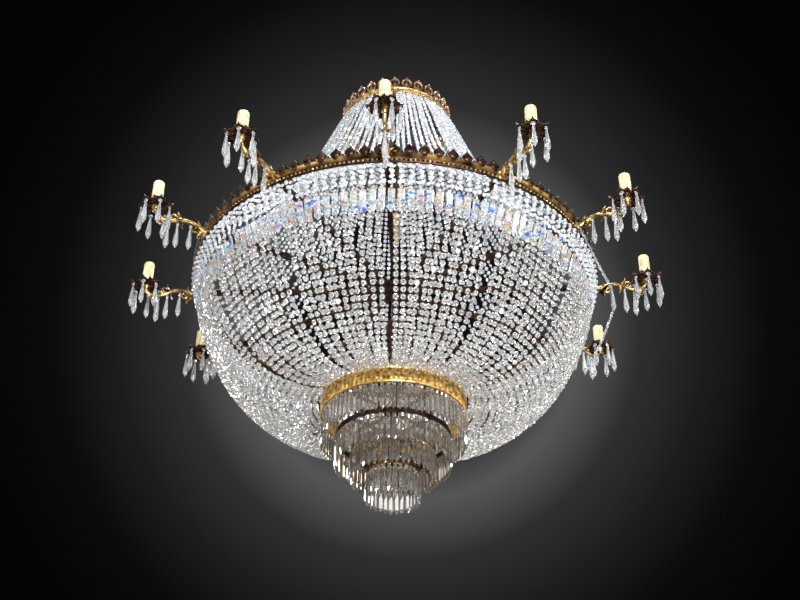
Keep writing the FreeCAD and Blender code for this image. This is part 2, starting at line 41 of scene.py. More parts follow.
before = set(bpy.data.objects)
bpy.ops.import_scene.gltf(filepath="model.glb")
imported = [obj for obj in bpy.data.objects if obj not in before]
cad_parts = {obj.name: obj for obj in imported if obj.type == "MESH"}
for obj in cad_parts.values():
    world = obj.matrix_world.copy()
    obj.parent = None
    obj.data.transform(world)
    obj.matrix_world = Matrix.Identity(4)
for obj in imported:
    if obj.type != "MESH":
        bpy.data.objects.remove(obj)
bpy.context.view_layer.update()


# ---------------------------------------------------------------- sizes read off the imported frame
def half_width(node):
    """Half of a round node's width, in metres."""
    low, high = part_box(node)
    return (high.x - low.x) / 2


def ring_radius(node):
    """A flat-sided ring's radius at its corners, in metres."""
    return half_width(node) / math.cos(math.pi / RING_FLATS)


def levels(node):
    """The lowest and highest level of a node, in metres."""
    low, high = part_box(node)
    return low.z, high.z


RING_LOW, RING_TOP = levels("main_ring")
RING_RADIUS = ring_radius("main_ring") - 1 * MM
RING_WALL = 6 * MM
CROWN_LOW, CROWN_TOP = levels("crown_ring")
CROWN_RADIUS = ring_radius("crown_ring")
BOTTOM_LOW, BOTTOM_TOP = levels("bottom_ring")
BOTTOM_RADIUS = ring_radius("bottom_ring") - 1.5 * MM
DISH_LOW, DISH_TOP = levels("drip_dishes")
CANDLE_CIRCLE = 640 * MM
PENDANT_CIRCLE = 582 * MM


# ---------------------------------------------------------------- modelling helpers
def turn(degrees, axis="Z"):
    """A turn about an axis through the origin."""
    return Matrix.Rotation(math.radians(degrees), 4, axis)


def at(x, y, z):
    """A move from the origin to a place."""
    return Matrix.Translation((x, y, z))


def start():
    """Nothing selected, in object mode."""
    if bpy.context.object and bpy.context.object.mode != "OBJECT":
        bpy.ops.object.mode_set(mode="OBJECT")
    bpy.ops.object.select_all(action="DESELECT")


def only(piece):
    """One piece selected and active."""
    start()
    piece.select_set(True)
    bpy.context.view_layer.objects.active = piece


def new_piece(name):
    """The primitive just added, named, with its place put into its mesh and its object at the origin."""
    piece = bpy.context.object
    piece.name = name
    only(piece)
    bpy.ops.object.transform_apply(location=True, rotation=True, scale=True)
    return piece


def choose_faces(piece, test):
    """Selects the faces that pass a test, and stays in edit mode."""
    only(piece)
    bpy.ops.object.mode_set(mode="EDIT")
    bpy.ops.mesh.select_mode(type="FACE")
    bpy.ops.mesh.select_all(action="DESELECT")
    bpy.ops.object.mode_set(mode="OBJECT")
    for face in piece.data.polygons:
        face.select = test(face)
    bpy.ops.object.mode_set(mode="EDIT")


def turned(name, sides, stations, filled=True, twist=0.0):
    """A turned or faceted piece on the Z axis: stations are (radius, height), extruded ring by ring.

    A last radius of 0 closes it to a point. A hollow ring isn't filled, and ends on its first station.
    """
    start()
    last_radius, last_height = stations[0]
    bpy.ops.mesh.primitive_circle_add(vertices=sides, radius=last_radius, rotation=(0, 0, twist),
                                      location=(0, 0, last_height), fill_type="NGON" if filled else "NOTHING")
    piece = new_piece(name)
    bpy.ops.object.mode_set(mode="EDIT")
    bpy.ops.mesh.select_all(action="SELECT")
    extrude = bpy.ops.mesh.extrude_region_move if filled else bpy.ops.mesh.extrude_edges_move
    for radius, height in stations[1:]:
        extrude(TRANSFORM_OT_translate={"value": (0, 0, height - last_height)})
        factor = max(radius, 0.01 * MM) / last_radius
        bpy.ops.transform.resize(value=(factor, factor, 1), center_override=(0, 0, height))
        last_radius, last_height = radius, height
    bpy.ops.mesh.select_all(action="SELECT")
    bpy.ops.mesh.remove_doubles(threshold=0.03 * MM)
    bpy.ops.mesh.normals_make_consistent(inside=False)
    bpy.ops.object.mode_set(mode="OBJECT")
    return piece


def copy_of(piece, name, matrix):
    """A copy with a mesh of its own, carried to its place."""
    copy = piece.copy()
    copy.data = piece.data.copy()
    copy.name = name
    bpy.context.scene.collection.objects.link(copy)
    copy.data.transform(matrix)
    return copy


def joined(name, parts):
    """Several meshes as one piece."""
    start()
    for part in parts:
        part.select_set(True)
    bpy.context.view_layer.objects.active = parts[0]
    bpy.ops.object.join()
    piece = bpy.context.object
    piece.name = name
    return piece


def remove(piece):
    """Takes a piece that was only copied, or only turned others, out of the scene."""
    bpy.data.objects.remove(piece)


def applied(piece, kind, **settings):
    """Adds a modifier, sets it and applies it."""
    only(piece)
    modifier = piece.modifiers.new(kind.lower(), kind)
    for key, value in settings.items():
        setattr(modifier, key, value)
    bpy.ops.object.modifier_apply(modifier=modifier.name)
    return piece


def ring_of(piece, count, first_angle=0.0, steps=None):
    """Repeats a piece about the Z axis with an array that turns about an empty; steps make a full turn."""
    piece.data.transform(turn(first_angle))
    start()
    bpy.ops.object.empty_add(location=(0, 0, 0), rotation=(0, 0, FULL_TURN / (steps or count)))
    pivot = bpy.context.object
    applied(piece, "ARRAY", count=count, use_relative_offset=False, use_object_offset=True,
            offset_object=pivot)
    remove(pivot)
    return piece


def hung_ring(piece, name, count, hook, chance, yaw, tilt):
    """Copies of a hanging piece round the Z axis, from half a step on, each turned by chance on its hook."""
    copies = []
    for index in range(count):
        loose = (turn(chance.uniform(-yaw, yaw)) @ turn(chance.uniform(-tilt, tilt), "X")
                 @ turn(chance.uniform(-tilt, tilt), "Y"))
        copies.append(copy_of(piece, name, turn(180 / count + 360 * index / count) @ hook @ loose))
    remove(piece)
    return joined(name, copies)


def to_arm(number):
    """The turn that takes a part made at the +X direction to an arm."""
    return turn(FIRST_ARM + ARM_PITCH * number)


def on_each_arm(part, name):
    """Copies of a part made at the +X direction, one for each arm, as one piece."""
    copies = [copy_of(part, name, to_arm(number)) for number in range(ARM_COUNT)]
    remove(part)
    return joined(name, copies)


def dressed(piece, finish, slot, body, *nodes):
    """Gives a piece its finish, the body that it rides on and the nodes that it stands for; the slot is not
    used.
    """
    piece.data.materials.clear()
    piece.data.materials.append(finish)
    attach(piece, body)
    if nodes:
        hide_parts(*nodes)


def flat_shaded(piece):
    """Facets with sharp edges, as on cut crystal."""
    only(piece)
    bpy.ops.object.shade_flat()
    return piece


def smooth_shaded(piece, angle):
    """Smooth, but for edges that turn more than an angle in degrees."""
    only(piece)
    bpy.ops.object.shade_smooth_by_angle(angle=math.radians(angle))
    return piece


# ---------------------------------------------------------------- finishes
def linear(hex_colour):
    """An sRGB hex value as linear light."""
    values = [int(hex_colour[index:index + 2], 16) / 255 for index in (1, 3, 5)]
    return (*[v / 12.92 if v <= 0.04045 else ((v + 0.055) / 1.055) ** 2.4 for v in values], 1.0)


def add_node(tree, kind, settings=None, links=None, stops=()):
    """Adds a node with its settings (attributes, or sockets by name), its links and a ramp's colour stops."""
    made = tree.nodes.new(kind)
    for key, value in (settings or {}).items():
        if isinstance(key, str) and hasattr(made, key):
            setattr(made, key, value)
        else:
            made.inputs[key].default_value = value
    for key, source in (links or {}).items():
        tree.links.new(source, made.inputs[key])
    if stops:
        elements = made.color_ramp.elements
        for element, (position, colour) in ((elements[0], stops[0]), (elements[1], stops[-1])):
            element.position = position
            element.color = linear(colour)
        for position, colour in stops[1:-1]:
            elements.new(position).color = linear(colour)
    return made


def new_finish(name, settings):
    """A material, its tree and its shader, whose sockets named in the settings are the same everywhere."""
    finish = bpy.data.materials.new(name)
    finish.use_nodes = True
    shader = finish.node_tree.nodes["Principled BSDF"]
    for socket, value in settings.items():
        shader.inputs[socket].default_value = value
    return finish, finish.node_tree, shader


CAST_GRAIN = 3 * MM


def aged_metal(name, bright, dull, roughness, patch, metallic=1.0):
    """A cast metal, gilt or patinated: bright and dull in random patches, over a slightly bumpy skin; each
    finish below says what its patches stand for.
    """
    finish, tree, shader = new_finish(name, {"Metallic": metallic})
    place = add_node(tree, "ShaderNodeTexCoord").outputs["Object"]
    patches = add_node(tree, "ShaderNodeTexNoise", {"Scale": 1 / patch, "Detail": 4.0}, {"Vector": place})
    casting = add_node(tree, "ShaderNodeTexNoise", {"Scale": 1 / CAST_GRAIN, "Detail": 2.0},
                       {"Vector": place})
    tone = add_node(tree, "ShaderNodeValToRGB", links={"Fac": patches.outputs["Fac"]},
                    stops=((0.38, dull), (0.62, bright)))
    wear = add_node(tree, "ShaderNodeMapRange", {"To Min": roughness - 0.1, "To Max": roughness + 0.12},
                    {"Value": patches.outputs["Fac"]})
    grain = add_node(tree, "ShaderNodeBump", {"Strength": 0.35, "Distance": 0.6 * MM},
                     {"Height": casting.outputs["Fac"]})
    tree.links.new(tone.outputs["Color"], shader.inputs["Base Color"])
    tree.links.new(wear.outputs["Result"], shader.inputs["Roughness"])
    tree.links.new(grain.outputs["Normal"], shader.inputs["Normal"])
    return finish


POLISH_CLOUD = 9 * MM


def cut_crystal(name, tint, clear):
    """Lead crystal, cut and polished: its facets flash; clear is the share of light let through."""
    finish, tree, shader = new_finish(name, {
        "Base Color": linear(tint), "IOR": 1.62, "Specular IOR Level": 0.8, "Transmission Weight": clear})
    place = add_node(tree, "ShaderNodeTexCoord").outputs["Object"]
    cloud = add_node(tree, "ShaderNodeTexNoise", {"Scale": 1 / POLISH_CLOUD, "Detail": 1.0},
                     {"Vector": place})
    polish = add_node(tree, "ShaderNodeMapRange", {"To Min": 0.01, "To Max": 0.07},
                      {"Value": cloud.outputs["Fac"]})
    tree.links.new(polish.outputs["Result"], shader.inputs["Roughness"])
    return finish


RAINBOW_BAND = 30 * MM


def rainbow_crystal(name):
    """Flat cut prisms that split the light: bands of blue, white, yellow and violet across each."""
    finish, tree, shader = new_finish(name, {"Roughness": 0.03, "IOR": 1.6, "Transmission Weight": 0.8})
    place = add_node(tree, "ShaderNodeTexCoord").outputs["Object"]
    flattened = add_node(tree, "ShaderNodeMapping", {"Scale": (1, 1, 2.6)}, {"Vector": place})
    bands = add_node(tree, "ShaderNodeTexNoise", {"Scale": 1 / RAINBOW_BAND, "Detail": 1.0},
                     {"Vector": flattened.outputs["Vector"]})
    tone = add_node(tree, "ShaderNodeValToRGB", links={"Fac": bands.outputs["Fac"]}, stops=(
        (0.3, "#3E6BE0"), (0.36, "#9CC7F5"), (0.42, "#F4F7FA"), (0.56, "#DCEBF0"), (0.6, "#F0D488"),
        (0.64, "#E9A6A0"), (0.68, "#F7F3EE"), (0.72, "#A98BE8")))
    tree.links.new(tone.outputs["Color"], shader.inputs["Base Color"])
    return finish


WAX_MOTTLE = 7 * MM


def wax_sleeve(name):
    """An ivory card sleeve dipped in wax: soft sheen, with mottled cream patches and slight runs."""
    finish, tree, shader = new_finish(name, {"Roughness": 0.48})
    place = add_node(tree, "ShaderNodeTexCoord").outputs["Object"]
    stretched = add_node(tree, "ShaderNodeMapping", {"Scale": (1, 1, 0.35)}, {"Vector": place})
    mottle = add_node(tree, "ShaderNodeTexNoise", {"Scale": 1 / WAX_MOTTLE, "Detail": 5.0},
                      {"Vector": stretched.outputs["Vector"]})
    tone = add_node(tree, "ShaderNodeValToRGB", links={"Fac": mottle.outputs["Fac"]},
                    stops=((0.35, "#B79F68"), (0.6, "#EBDDB2")))
    runs = add_node(tree, "ShaderNodeBump", {"Strength": 0.5, "Distance": 0.8 * MM},
                    {"Height": mottle.outputs["Fac"]})
    tree.links.new(tone.outputs["Color"], shader.inputs["Base Color"])
    tree.links.new(runs.outputs["Normal"], shader.inputs["Normal"])
    return finish


DUST_PATCH = 5 * MM


def black_holder(name):
    """Moulded black phenolic, slightly dusty."""
    finish, tree, shader = new_finish(name, {"Roughness": 0.4})
    place = add_node(tree, "ShaderNodeTexCoord").outputs["Object"]
    dust = add_node(tree, "ShaderNodeTexNoise", {"Scale": 1 / DUST_PATCH, "Detail": 3.0}, {"Vector": place})
    tone = add_node(tree, "ShaderNodeValToRGB", links={"Fac": dust.outputs["Fac"]},
                    stops=((0, "#141211"), (1, "#35302B")))
    tree.links.new(tone.outputs["Color"], shader.inputs["Base Color"])
    return finish


# Cast brass with gilding: soft yellow that goes brown in small patches, partly worn gilding and partly
# painted shade that darkens the arms.
GILT_SHADED = aged_metal("gilt_brass_cast_painted_shade", "#CBAF78", "#5C4524", 0.34, 22 * MM)
# The same, burnished: a paler gold with sharper lights, for chased work.
GILT_BRIGHT = aged_metal("gilt_brass_burnished", "#EFCF88", "#A07434", 0.3, 8 * MM)
# Tarnished gilt bronze: long dark stretches of tarnish along the ring, and long golden stretches that are
# partly the gilt and partly painted highlight.
RING_GILT_HIGHLIT = aged_metal("gilt_bronze_tarnished_painted_highlight", "#B69558", "#33241A", 0.36, 70 * MM)
# Bronze with a dark patina: nearly black brown, with dull warm lights.
BRONZE = aged_metal("bronze_dark_patina", "#4B3020", "#190F0A", 0.42, 14 * MM, metallic=0.85)
# Painted light on bronze: a lighter, warmer copy of the dark bronze, for the copper light that the crown's
# leaves catch.
CROWN_BRONZE_LIT = aged_metal("bronze_patina_painted_light", "#BC9778", "#63432F", 0.38, 20 * MM, metallic=0.85)
# Large clear beads: white flashes with the dark showing through between them.
CRYSTAL = cut_crystal("lead_crystal_bead", "#FAF8F4", 0.93)
# Drops: clear and a little cool.
CRYSTAL_PRISM = cut_crystal("lead_crystal_prism", "#F6F8FB", 0.86)
# Small beads made milky and pale as painted light, for the strong light from above, so that fine rows read as
# pale lines.
CRYSTAL_FINE_LIT = cut_crystal("lead_crystal_fine_bead_painted_light", "#F1F4F8", 0.7)
# The lowest prisms: clear, and paler than the rows above.
CRYSTAL_DROP = cut_crystal("lead_crystal_low_prism", "#D6D2CC", 0.95)
# Prisms darkened by age and dust: smoky grey-brown.
CRYSTAL_SMOKY = cut_crystal("lead_crystal_aged_prism", "#B4ABA0", 0.93)
# Prisms that throw small rainbows.
RAINBOW = rainbow_crystal("lead_crystal_prismatic")
# Wax over card: a warm, cloudy ivory.
WAX = wax_sleeve("wax_dipped_card")
# Phenolic: a brown-black with a dull sheen.
HOLDER = black_holder("phenolic_moulded_black")


# ---------------------------------------------------------------- crystal shapes
def octagon_bead(name, width, thickness, sides=8, table=0.52, bevel=0.0):
    """A cut bead: a wide girdle between two smaller tables; a bevel adds a second row of facets each side."""
    radius = width / 2
    upper = [(radius * table, thickness / 2)]
    if bevel:
        upper.append((radius * bevel, thickness * 0.3))
    lower = [(reach, -height) for reach, height in reversed(upper)]
    return turned(name, sides, [*upper, (radius, 0), *lower], twist=math.pi / sides)


def pendeloque(name, length, width):
    """A long drop: a small neck, a slim body that swells low down, and a sharp foot; top at the origin."""
    half = width / 2
    return turned(name, 8, [
        (half * 0.34, 0), (half * 0.42, -length * 0.08), (half * 0.62, -length * 0.3),
        (half, -length * 0.7), (half * 0.86, -length * 0.8), (0, -length)])


def flat_prism(name, width, thickness, length, point):
    """A flat prism with bevelled edges and a pointed foot, hanging from the origin and facing along X."""
    start()
    low = point - length
    bpy.ops.mesh.primitive_cube_add(size=1, location=(0, 0, low / 2), scale=(thickness, width, -low))
    piece = new_piece(name)
    choose_faces(piece, lambda face: face.normal.z < -0.9)
    bpy.ops.mesh.extrude_region_move(TRANSFORM_OT_translate={"value": (0, 0, -point)})
    bpy.ops.transform.resize(value=(0.55, 0.02, 1), center_override=(0, 0, low - point))
    choose_faces(piece, lambda face: abs(face.normal.x) > 0.9)
    bpy.ops.mesh.inset(thickness=min(width, thickness * 1.6) * 0.28, depth=0)
    bpy.ops.object.mode_set(mode="OBJECT")
    for corner in piece.data.vertices:
        on_edge = abs(abs(corner.co.y) - width / 2) < 0.02 * MM
        if on_edge and corner.co.z > low - 0.1 * MM:
            corner.co.x *= 0.45
    return piece


def under_bead(name, crystal, width, thickness, sides=8):
    """Hangs a crystal under a small bead that stands on edge, with its top at the origin."""
    crystal.data.transform(at(0, 0, -width))
    bead = octagon_bead(name, width, thickness, sides)
    bead.data.transform(at(0, 0, -width / 2) @ turn(90, "Y"))
    return joined(name, [crystal, bead])


def part_of_cubic(corners, first, last):
    """The corners of the stretch of a cubic curve between two shares."""
    def split(points, share):
        rows = [list(points)]
        while len(rows[-1]) > 1:
            row = rows[-1]
            rows.append([row[i].lerp(row[i + 1], share) for i in range(len(row) - 1)])
        return [row[0] for row in rows], [row[-1] for row in reversed(rows)]
    tail = split(corners, first)[1]
    return split(tail, (last - first) / (1 - first))[0]


# ---------------------------------------------------------------- strands
BEAD_ROLL = 38
BEAD_NOD = 14
BEAD_YAW = 10
STAGGER = 4 * MM
ROOM_AT_ARM = 1.0
UNEVEN = 0.16
TENT_STRANDS = 8
TENT_PITCH = 13 * MM
BASKET_STRANDS = 12
BASKET_PITCH = 16 * MM


def unsettled(piece, count, pitch, chance, sway, lift):
    """Turns each bead of a straight row on its wires by chance, and lets the row wander sideways."""
    length = count * pitch
    each = len(piece.data.vertices) // count
    bow = chance.uniform(-sway, sway)
    wave = chance.uniform(-sway, sway) / 2
    for index in range(count):
        centre = Vector(((index + 0.5) * pitch, 0, 0))
        share = centre.x / length
        aside = bow * math.sin(math.pi * share) + wave * math.sin(3 * math.pi * share)
        loose = (turn(chance.uniform(-BEAD_ROLL, BEAD_ROLL), "X")
                 @ turn(chance.uniform(-BEAD_NOD, BEAD_NOD), "Y")
                 @ turn(chance.uniform(-BEAD_YAW, BEAD_YAW)))
        for corner in piece.data.vertices[index * each:(index + 1) * each]:
            corner.co = centre + Vector((0, aside, lift * share)) + loose @ (corner.co - centre)


def strand(name, bead, pitch, corners, chance, sway, lift):
    """One strand: beads repeated along a cubic curve in the XZ plane."""
    first, second, third, last = corners
    start()
    bpy.ops.curve.primitive_bezier_curve_add()
    route = bpy.context.object
    route.data.twist_mode = "Z_UP"
    line = route.data.splines[0]
    line.resolution_u = 32
    ends = ((first, first * 2 - second, second), (last, third, last * 2 - third))
    for point, (place, before, after) in zip(line.bezier_points, ends):
        point.handle_left_type = point.handle_right_type = "FREE"
        point.co = place
        point.handle_left = before
        point.handle_right = after
    length = line.calc_length()
    count = int(length // pitch)
    pitch = length / count
    piece = copy_of(bead, name, at(pitch / 2, 0, 0))
    applied(piece, "ARRAY", count=count, use_relative_offset=False, use_constant_offset=True,
            constant_offset_displace=(pitch, 0, 0))
    unsettled(piece, count, pitch, chance, sway, lift)
    applied(piece, "CURVE", object=route, deform_axis="POS_X")
    remove(route)
    return piece


def sector_of_strands(name, bead, pitch, corners, count, chance, sway):
    """The strands of one sector, each a little different, spread between two arms with room at the arms."""
    step = (360 / SECTORS - 2 * ROOM_AT_ARM) / count
    strands = []
    for index in range(count):
        lift = -STAGGER * (index % 2)
        made = strand(name, bead, pitch, corners, chance, sway, lift)
        place = index + 0.5 + chance.uniform(-UNEVEN, UNEVEN)
        made.data.transform(turn(ROOM_AT_ARM + place * step))
        strands.append(made)
    remove(bead)
    return joined(name, strands)


def tent():
    """Fine strands from the crown to the inside of the ring."""
    bead = octagon_bead("tent_bead", 12 * MM, 6.5 * MM, sides=6, table=0.42)
    corners = [
        Vector((CROWN_RADIUS - 2 * MM, 0, CROWN_LOW - 1 * MM)),
        Vector((CROWN_RADIUS + 56 * MM, 0, CROWN_LOW - 102 * MM)),
        Vector((RING_RADIUS - 226 * MM, 0, RING_LOW + 110 * MM)),
        Vector((RING_RADIUS - 9 * MM, 0, RING_LOW + 18 * MM)),
    ]
    sector = sector_of_strands("tent_beads", bead, TENT_PITCH, corners, TENT_STRANDS,
                               random.Random(SEED), sway=1.4 * MM)
    dressed(flat_shaded(ring_of(sector, SECTORS)), CRYSTAL_FINE_LIT, "crystal", "frame", "tent_strands")


def basket():
    """Octagon beads from the plaques round the belly to the bottom ring, in two halves."""
    bead = octagon_bead("basket_bead", 14 * MM, 7.5 * MM, bevel=0.84)
    belly = [
        Vector((RING_RADIUS, 0, RING_LOW)),
        Vector((RING_RADIUS - 16.6 * MM, 0, RING_LOW - 67.6 * MM)),
        Vector((RING_RADIUS - 96.7 * MM, 0, RING_LOW - 404.6 * MM)),
        Vector((BOTTOM_RADIUS + 5 * MM, 0, BOTTOM_TOP - 4 * MM)),
    ]
    corners = part_of_cubic(belly, 0.24, 0.995)
    sector = sector_of_strands("basket_beads", bead, BASKET_PITCH, corners, BASKET_STRANDS,
                               random.Random(SEED + 1), sway=3.6 * MM)
    front = flat_shaded(ring_of(sector, SECTORS // 2, 0, SECTORS))
    back = copy_of(front, "basket_beads_back", turn(180))
    dressed(front, CRYSTAL, "crystal", "frame", "basket_strands")
    dressed(back, CRYSTAL, "crystal", "frame")


# ---------------------------------------------------------------- netting, plaques and prisms
LACE_CELLS = 144
LACE_DEPTH = 53 * MM
LACE_LEAN = 15 * MM
LACE_BEADS = 4
LACE_RADIUS = RING_RADIUS - RING_WALL / 2
LACE_ROLL = 35
LACE_NOD = 30
PLAQUE_COUNT = 144
PLAQUE_LEAN = 20
PRISM_PITCH = 13.4 * MM


def lace():
    """The close net of beads that hangs from the ring's edge: strings that cross from cell to cell."""
    chance = random.Random(SEED + 2)
    bead = octagon_bead("lace_bead", 11.5 * MM, 6 * MM)
    cell = 360 / LACE_CELLS
    group = []
    for column in range(LACE_CELLS // SECTORS):
        for side in (-1, 1):
            for index in range(LACE_BEADS):
                share = (index + 0.5) / LACE_BEADS
                angle = (column + 0.5 + side * (share - 0.5) / 2) * cell
                level = RING_LOW - 2 * MM - (LACE_DEPTH - 4 * MM) * share
                place = turn(angle) @ at(LACE_RADIUS - LACE_LEAN * share + side * 2 * MM, 0, level)
                loose = (turn(chance.uniform(-LACE_ROLL, LACE_ROLL), "Y")
                         @ turn(chance.uniform(-LACE_NOD, LACE_NOD), "X"))
                group.append(copy_of(bead, "lace_net", place @ turn(90, "Y") @ loose))
    remove(bead)
    piece = flat_shaded(ring_of(joined("lace_net", group), SECTORS))
    dressed(piece, CRYSTAL_FINE_LIT, "crystal", "frame", "lace_band")


def plaques():
    """The belt of flat pointed prisms, each under a small bead."""
    name = "plaque_row"
    plate = under_bead(name, flat_prism(name, 16 * MM, 5 * MM, 55 * MM, 9 * MM), 8 * MM, 4 * MM, sides=6)
    hook = at(LACE_RADIUS - LACE_LEAN, 0, RING_LOW - LACE_DEPTH - 0.5 * MM) @ turn(PLAQUE_LEAN, "Y")
    piece = hung_ring(plate, name, PLAQUE_COUNT, hook, random.Random(SEED + 3), yaw=15, tilt=3)
    dressed(flat_shaded(piece), RAINBOW, "crystal", "frame", "plaque_belt")


def prism_tiers():
    """Four rows of slim prisms, each hung by a small bead."""
    chance = random.Random(SEED + 4)
    rows = [("one", BOTTOM_RADIUS - 2.5 * MM, BOTTOM_LOW, CRYSTAL_SMOKY)]
    for row, finish in (("two", CRYSTAL_SMOKY), ("three", CRYSTAL_SMOKY), ("four", CRYSTAL_DROP)):
        rows.append((row, half_width(f"hoop_{row}") - 1.5 * MM, levels(f"hoop_{row}")[0], finish))
    for row, radius, level, finish in rows:
        name = f"prism_row_{row}"
        prism = under_bead(name, flat_prism(name, 12 * MM, 5 * MM, 62 * MM, 11 * MM), 10 * MM, 4.5 * MM)
        count = round(FULL_TURN * radius / PRISM_PITCH)
        piece = hung_ring(prism, name, count, at(radius, 0, level - 0.3 * MM), chance, yaw=16, tilt=1.2)
        dressed(flat_shaded(piece), finish, "crystal", "frame", f"prisms_{row}")


# ---------------------------------------------------------------- gilt work
RING_SIDES = 160
RING_LEAVES = 96
CROWN_ARCHES = 28
# Half of a bud's outline, as shares of its height and its width.
BUD_OUTLINE = ((0, 0.14), (0.07, 0.3), (0.18, 0.44), (0.33, 0.5), (0.48, 0.46), (0.6, 0.35), (0.71, 0.22),
               (0.82, 0.12), (0.92, 0.05))
# Its rim, hollow and heart: the share left of the outline before, and the rise in thicknesses.
BUD_STEPS = ((0.84, 0), (0.92, -0.5), (0.7, 1.1))


def palmette(name, width, height, thickness):
    """A bud-shaped cast leaf with a rim and a raised heart, standing on the origin and facing +X."""
    start()
    bpy.ops.mesh.primitive_circle_add(vertices=2 * len(BUD_OUTLINE) + 1, radius=1, fill_type="NGON",
                                      rotation=(0, math.radians(90), 0))
    piece = new_piece(name)
    left = [(share, -reach) for share, reach in reversed(BUD_OUTLINE)]
    around = sorted(piece.data.vertices,
                    key=lambda corner: math.atan2(corner.co.y, -corner.co.z) % FULL_TURN)
    for corner, (share, reach) in zip(around, [*BUD_OUTLINE, (1.0, 0.0), *left]):
        corner.co = (0, reach * width, share * height)
    choose_faces(piece, lambda face: True)
    bpy.ops.mesh.extrude_region_move(TRANSFORM_OT_translate={"value": (thickness, 0, 0)})
    for shrink, shift in BUD_STEPS:
        bpy.ops.mesh.extrude_region_move(TRANSFORM_OT_translate={"value": (thickness * shift, 0, 0)})
        bpy.ops.transform.resize(value=(1, shrink, shrink), center_override=(0, 0, height * 0.42))
    bpy.ops.mesh.select_all(action="SELECT")
    bpy.ops.mesh.normals_make_consistent(inside=False)
    bpy.ops.object.mode_set(mode="OBJECT")
    return piece


def small_ball(name, width, place):
    """A small cast bead."""
    start()
    bpy.ops.mesh.primitive_ico_sphere_add(subdivisions=1, radius=width / 2, location=place)
    return new_piece(name)


def arch(name, width, height):
    """An open horseshoe arch with a bud inside and a nib on top, standing on the origin and facing +X."""
    start()
    tube = 2.6 * MM
    tall = height - 5 * MM
    bpy.ops.mesh.primitive_torus_add(major_segments=20, minor_segments=6, major_radius=width / 2 - tube,
                                     minor_radius=tube, rotation=(0, math.radians(90), 0))
    hoop = new_piece(name)
    hoop.data.transform(at(tube, 0, tall / 2) @ Matrix.Diagonal((1, 1, tall / width, 1)))
    heart = palmette(name, width * 0.42, height * 0.66, 2 * MM)
    nib = small_ball(name, 6 * MM, (tube, 0, height - 3 * MM))
    foot = small_ball(name, 9 * MM, (tube, 0, 4.5 * MM))
    return joined(name, [hoop, heart, nib, foot])


def crestings():
    """The rows of leaves on the main ring and on the crown."""
    name = "ring_palmettes"
    half_step = 180 / RING_LEAVES
    leaf = palmette(name, 26 * MM, 28 * MM, 2.6 * MM)
    leaf.data.transform(at(RING_RADIUS - 3 * MM, 0, RING_TOP - 0.5 * MM))
    stem = palmette(name, 15 * MM, 9 * MM, 1.2 * MM)
    stem.data.transform(at(RING_RADIUS + 0.4 * MM, 0, RING_TOP) @ turn(180, "X"))
    parts = [leaf, stem]
    for width, rise in ((6.5 * MM, 4 * MM), (5 * MM, 0.5 * MM)):
        ball = small_ball(name, width, (RING_RADIUS - 1 * MM, 0, RING_TOP + rise))
        ball.data.transform(turn(half_step))
        parts.append(ball)
    piece = smooth_shaded(ring_of(joined(name, parts), RING_LEAVES, half_step), 30)
    dressed(piece, BRONZE, "dark_bronze", "frame", "main_cresting")

    leaf = arch("crown_palmettes", 29 * MM, 39 * MM)
    leaf.data.transform(at(CROWN_RADIUS - 5 * MM, 0, CROWN_TOP - 0.5 * MM) @ turn(3, "Y"))
    piece = smooth_shaded(ring_of(leaf, CROWN_ARCHES), 40)
    dressed(piece, CROWN_BRONZE_LIT, "dark_bronze", "frame", "crown_cresting")


def beading(name, radius, level, count, width, finish):
    """A row of cast beads round a ring."""
    piece = smooth_shaded(ring_of(small_ball(name, width, (radius, 0, level)), count), 60)
    dressed(piece, finish, "gilt_brass", "frame")


def leaf_relief(name, radius, low, high, count, finish):
    """A row of upright chased leaves round a band."""
    leaf = palmette(name, FULL_TURN * radius / count * 0.92, high - low, 1.4 * MM)
    leaf.data.transform(at(radius, 0, low))
    dressed(smooth_shaded(ring_of(leaf, count), 30), finish, "gilt_brass", "frame")


def ring_band(name, profile, finish, *nodes):
    """A turned ring from a closed (radius, height) profile, in place of its CAD node if one is named."""
    piece = turned(name, RING_SIDES, [*profile, profile[0]], filled=False)
    dressed(smooth_shaded(piece, 35), finish, "gilt_brass", "frame", *nodes)


